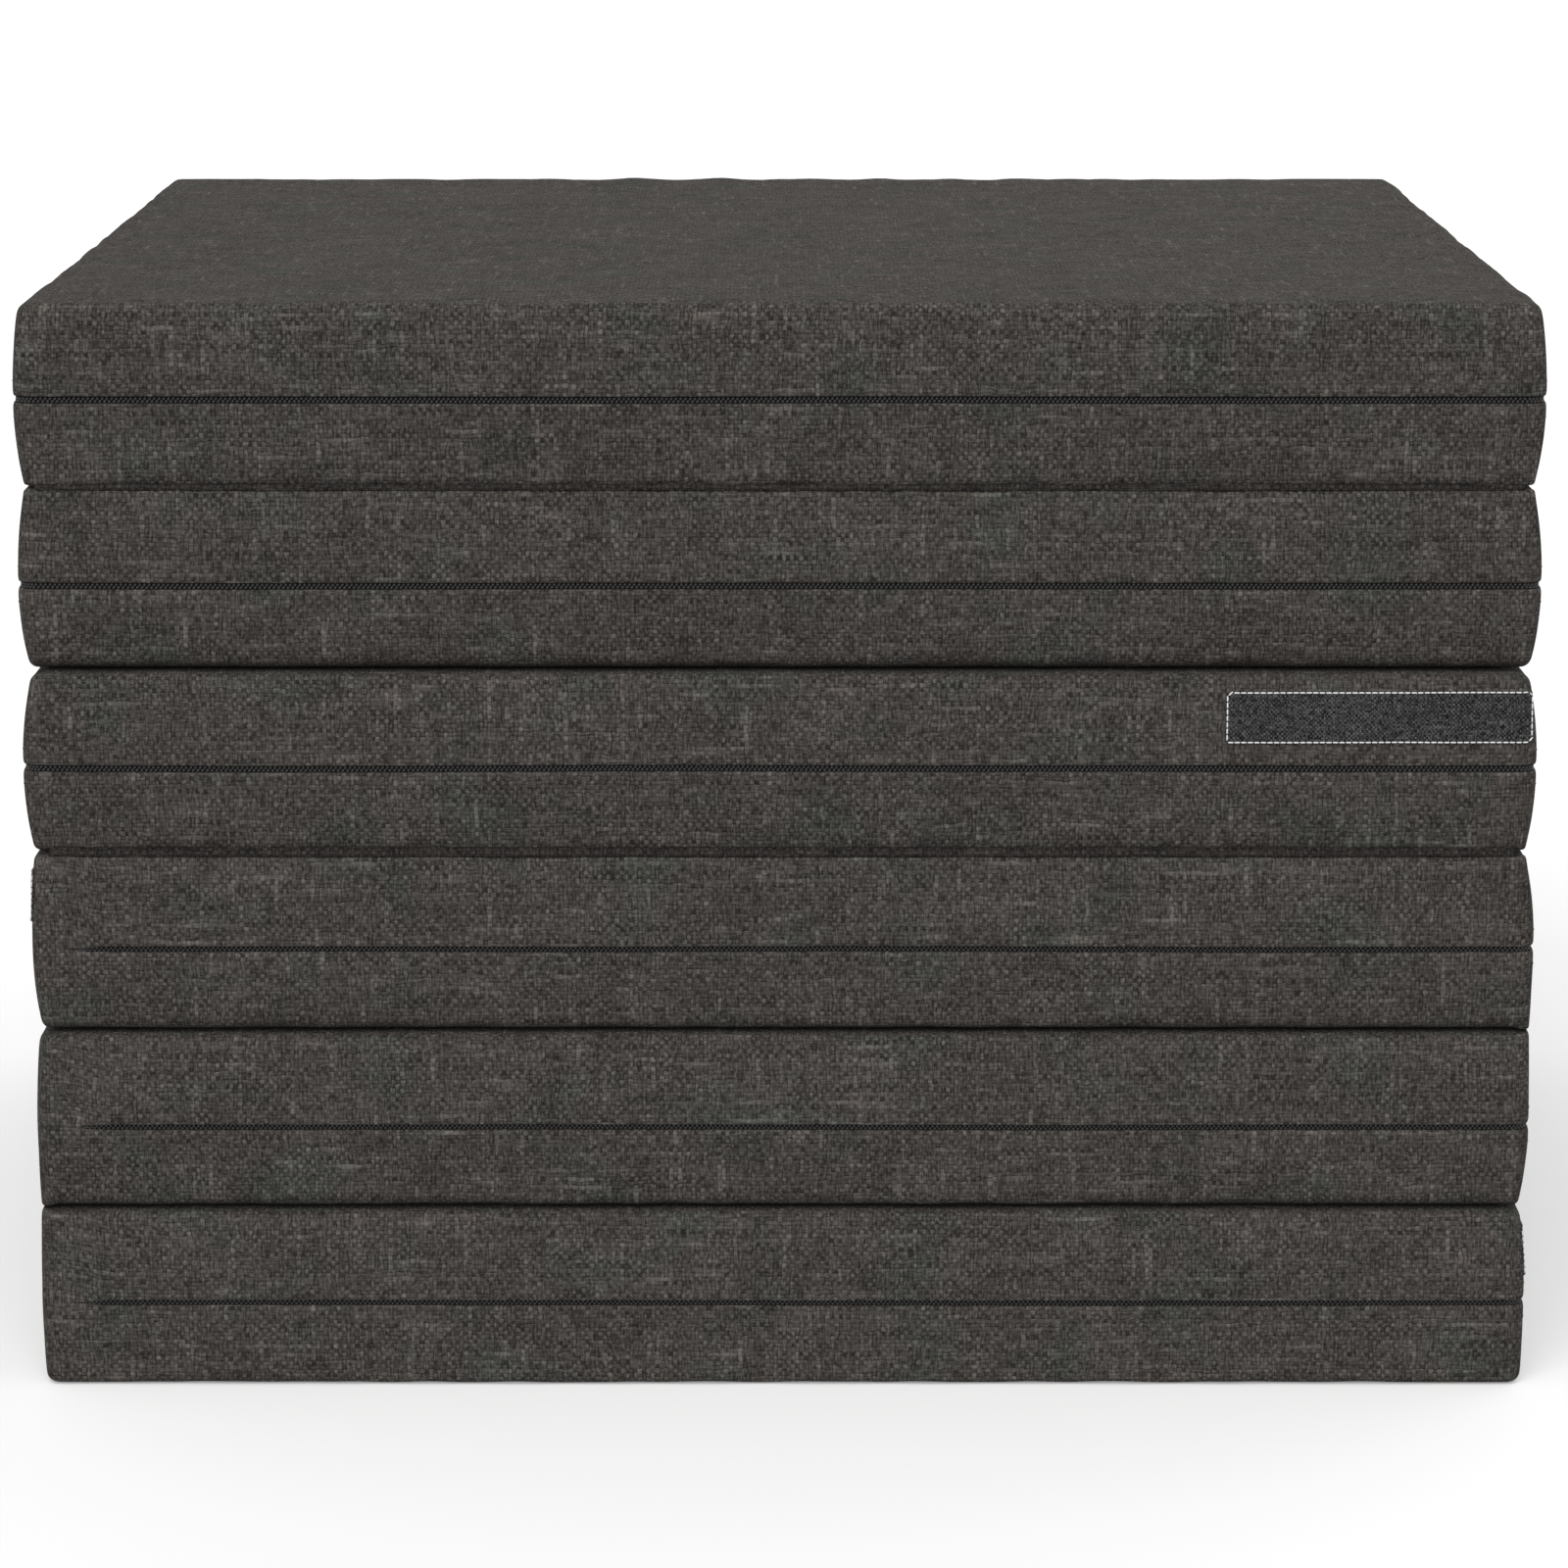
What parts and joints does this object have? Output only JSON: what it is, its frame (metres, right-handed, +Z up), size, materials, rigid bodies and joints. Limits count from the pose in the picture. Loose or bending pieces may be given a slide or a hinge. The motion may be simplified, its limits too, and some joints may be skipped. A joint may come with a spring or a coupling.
{
  "type": "folding futon mattress",
  "caption": "Folding futon mattress: square fabric-covered foam panels with zipped covers, hinged edge to edge along sewn folds and stored here as a closed stack.",
  "frame": {"origin": "centre of the closed stack's footprint, on the floor", "axes": "+Z up through the stack, -Y the front that shows every zip, +X to the right seen from the front"},
  "size_m": [0.654, 0.6024, 0.474],
  "materials": {
    "cover_fabric": "matte linen-look weave",
    "foam": "matte open-cell foam",
    "zip_tape": "matte woven tape",
    "zip_coil": "satin",
    "zip_metal": "satin dark enamel",
    "label": "matte fine weave",
    "thread": "matte"
  },
  "bodies": {
    "panel_1": {"panel_1_foam_core": "foam", "panel_1_cover_lower": "cover_fabric", "panel_1_cover_upper": "cover_fabric", "panel_1_zip_tape": "zip_tape", "panel_1_zip_coil": "zip_coil", "panel_1_label": "label", "panel_1_label_stitches": "thread", "fold_seam_1_2": "cover_fabric"},
    "panel_1_slider": {"panel_1_zip_slider": "zip_metal"},
    "panel_1_pull": {"panel_1_zip_pull": "zip_metal"},
    "panel_2": {"panel_2_foam_core": "foam", "panel_2_cover_lower": "cover_fabric", "panel_2_cover_upper": "cover_fabric", "panel_2_zip_tape": "zip_tape", "panel_2_zip_coil": "zip_coil", "fold_seam_2_3": "cover_fabric"},
    "panel_2_slider": {"panel_2_zip_slider": "zip_metal"},
    "panel_2_pull": {"panel_2_zip_pull": "zip_metal"},
    "panel_3": {"panel_3_foam_core": "foam", "panel_3_cover_lower": "cover_fabric", "panel_3_cover_upper": "cover_fabric", "panel_3_zip_tape": "zip_tape", "panel_3_zip_coil": "zip_coil", "panel_3_label": "label", "panel_3_label_stitches": "thread", "fold_seam_3_4": "cover_fabric"},
    "panel_3_slider": {"panel_3_zip_slider": "zip_metal"},
    "panel_3_pull": {"panel_3_zip_pull": "zip_metal"},
    "panel_4": {"panel_4_foam_core": "foam", "panel_4_cover_lower": "cover_fabric", "panel_4_cover_upper": "cover_fabric", "panel_4_zip_tape": "zip_tape", "panel_4_zip_coil": "zip_coil", "panel_4_label": "label", "panel_4_label_stitches": "thread", "fold_seam_4_5": "cover_fabric"},
    "panel_4_slider": {"panel_4_zip_slider": "zip_metal"},
    "panel_4_pull": {"panel_4_zip_pull": "zip_metal"},
    "panel_5": {"panel_5_foam_core": "foam", "panel_5_cover_lower": "cover_fabric", "panel_5_cover_upper": "cover_fabric", "panel_5_zip_tape": "zip_tape", "panel_5_zip_coil": "zip_coil", "fold_seam_5_6": "cover_fabric"},
    "panel_5_slider": {"panel_5_zip_slider": "zip_metal"},
    "panel_5_pull": {"panel_5_zip_pull": "zip_metal"},
    "panel_6": {"panel_6_foam_core": "foam", "panel_6_cover_lower": "cover_fabric", "panel_6_cover_upper": "cover_fabric", "panel_6_zip_tape": "zip_tape", "panel_6_zip_coil": "zip_coil"},
    "panel_6_slider": {"panel_6_zip_slider": "zip_metal"},
    "panel_6_pull": {"panel_6_zip_pull": "zip_metal"}
  },
  "joints": [
    {"name": "fold_1_2", "type": "hinge", "parent": "panel_1", "child": "panel_2", "pos_m": [-0.325, 0, 0.0786], "axis": [0, -1, 0], "range_deg": [0, 180]},
    {"name": "fold_2_3", "type": "hinge", "parent": "panel_2", "child": "panel_3", "pos_m": [0.325, 0, 0.1578], "axis": [0, 1, 0], "range_deg": [0, 180]},
    {"name": "fold_3_4", "type": "hinge", "parent": "panel_3", "child": "panel_4", "pos_m": [0, -0.3, 0.237], "axis": [1, 0, 0], "range_deg": [0, 180]},
    {"name": "fold_4_5", "type": "hinge", "parent": "panel_4", "child": "panel_5", "pos_m": [0, 0.3, 0.3162], "axis": [-1, 0, 0], "range_deg": [0, 180]},
    {"name": "fold_5_6", "type": "hinge", "parent": "panel_5", "child": "panel_6", "pos_m": [0, -0.3, 0.3954], "axis": [1, 0, 0], "range_deg": [0, 180]},
    {"name": "zip_1_run", "type": "slide", "parent": "panel_1", "child": "panel_1_slider", "axis": [1, 0, 0], "range_m": [0, 0.55]},
    {"name": "zip_1_pull", "type": "hinge", "parent": "panel_1_slider", "child": "panel_1_pull", "pos_m": [-0.2906, 0.3003, 0.037], "axis": [0, 0, 1], "range_deg": [0, 150]},
    {"name": "zip_2_run", "type": "slide", "parent": "panel_2", "child": "panel_2_slider", "axis": [1, 0, 0], "range_m": [0, 0.55]},
    {"name": "zip_2_pull", "type": "hinge", "parent": "panel_2_slider", "child": "panel_2_pull", "pos_m": [-0.2906, 0.3003, 0.1162], "axis": [0, 0, 1], "range_deg": [0, 150]},
    {"name": "zip_3_run", "type": "slide", "parent": "panel_3", "child": "panel_3_slider", "axis": [1, 0, 0], "range_m": [0, 0.55]},
    {"name": "zip_3_pull", "type": "hinge", "parent": "panel_3_slider", "child": "panel_3_pull", "pos_m": [-0.2906, 0.3003, 0.1954], "axis": [0, 0, 1], "range_deg": [0, 150]},
    {"name": "zip_4_run", "type": "slide", "parent": "panel_4", "child": "panel_4_slider", "axis": [0, -1, 0], "range_m": [0, 0.5]},
    {"name": "zip_4_pull", "type": "hinge", "parent": "panel_4_slider", "child": "panel_4_pull", "pos_m": [-0.3269, 0.264, 0.2746], "axis": [0, 0, 1], "range_deg": [0, 150]},
    {"name": "zip_5_run", "type": "slide", "parent": "panel_5", "child": "panel_5_slider", "axis": [0, -1, 0], "range_m": [0, 0.5]},
    {"name": "zip_5_pull", "type": "hinge", "parent": "panel_5_slider", "child": "panel_5_pull", "pos_m": [-0.3269, 0.264, 0.3538], "axis": [0, 0, 1], "range_deg": [0, 150]},
    {"name": "zip_6_run", "type": "slide", "parent": "panel_6", "child": "panel_6_slider", "axis": [0, -1, 0], "range_m": [0, 0.5]},
    {"name": "zip_6_pull", "type": "hinge", "parent": "panel_6_slider", "child": "panel_6_pull", "pos_m": [-0.3269, 0.264, 0.433], "axis": [0, 0, 1], "range_deg": [0, 150]}
  ]
}
